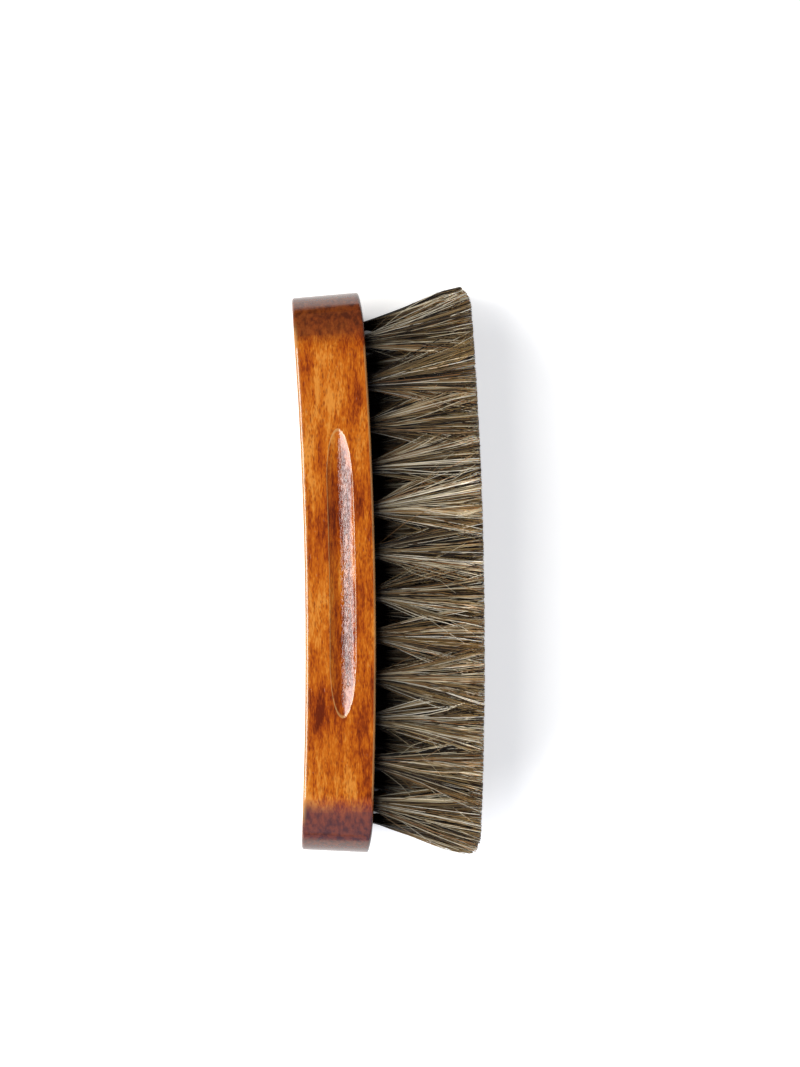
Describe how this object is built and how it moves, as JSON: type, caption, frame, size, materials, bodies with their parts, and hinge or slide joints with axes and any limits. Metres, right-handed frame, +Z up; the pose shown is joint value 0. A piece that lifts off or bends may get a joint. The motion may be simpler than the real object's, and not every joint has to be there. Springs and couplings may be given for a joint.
{
  "type": "shoe shine brush",
  "caption": "Hand brush for polishing shoes: an arched, stained wooden block with finger grooves in both flanks and a dense field of trimmed horsehair tufts",
  "frame": {"origin": "on the surface that the brush lies on, under the middle of its bounding box", "axes": "+X the way the bristles point, +Y along the length of the block, +Z up through its width, from the lower flank to the upper one"},
  "size_m": [0.0603, 0.1854, 0.054],
  "materials": {
    "stained_wood": "close-grained wood stained orange-brown and lacquered",
    "horsehair": "mixed grey-brown horsehair, trimmed at the tips",
    "anchor_wire": "flat drawn steel wire, plain"
  },
  "bodies": {
    "root": {"block": "stained_wood", "tuft_row_1_01": "horsehair", "tuft_row_1_02": "horsehair", "tuft_row_1_03": "horsehair", "tuft_row_1_04": "horsehair", "tuft_row_1_05": "horsehair", "tuft_row_1_06": "horsehair", "tuft_row_1_07": "horsehair", "tuft_row_1_08": "horsehair", "tuft_row_1_09": "horsehair", "tuft_row_1_10": "horsehair", "tuft_row_1_11": "horsehair", "tuft_row_1_12": "horsehair", "tuft_row_2_01": "horsehair", "tuft_row_2_02": "horsehair", "tuft_row_2_03": "horsehair", "tuft_row_2_04": "horsehair", "tuft_row_2_05": "horsehair", "tuft_row_2_06": "horsehair", "tuft_row_2_07": "horsehair", "tuft_row_2_08": "horsehair", "tuft_row_2_09": "horsehair", "tuft_row_2_10": "horsehair", "tuft_row_2_11": "horsehair", "tuft_row_2_12": "horsehair", "tuft_row_2_13": "horsehair", "tuft_row_3_01": "horsehair", "tuft_row_3_02": "horsehair", "tuft_row_3_03": "horsehair", "tuft_row_3_04": "horsehair", "tuft_row_3_05": "horsehair", "tuft_row_3_06": "horsehair", "tuft_row_3_07": "horsehair", "tuft_row_3_08": "horsehair", "tuft_row_3_09": "horsehair", "tuft_row_3_10": "horsehair", "tuft_row_3_11": "horsehair", "tuft_row_3_12": "horsehair", "tuft_row_3_13": "horsehair", "tuft_row_4_01": "horsehair", "tuft_row_4_02": "horsehair", "tuft_row_4_03": "horsehair", "tuft_row_4_04": "horsehair", "tuft_row_4_05": "horsehair", "tuft_row_4_06": "horsehair", "tuft_row_4_07": "horsehair", "tuft_row_4_08": "horsehair", "tuft_row_4_09": "horsehair", "tuft_row_4_10": "horsehair", "tuft_row_4_11": "horsehair", "tuft_row_4_12": "horsehair", "anchors_row_1": "anchor_wire", "anchors_row_2": "anchor_wire", "anchors_row_3": "anchor_wire", "anchors_row_4": "anchor_wire"}
  },
  "joints": []
}
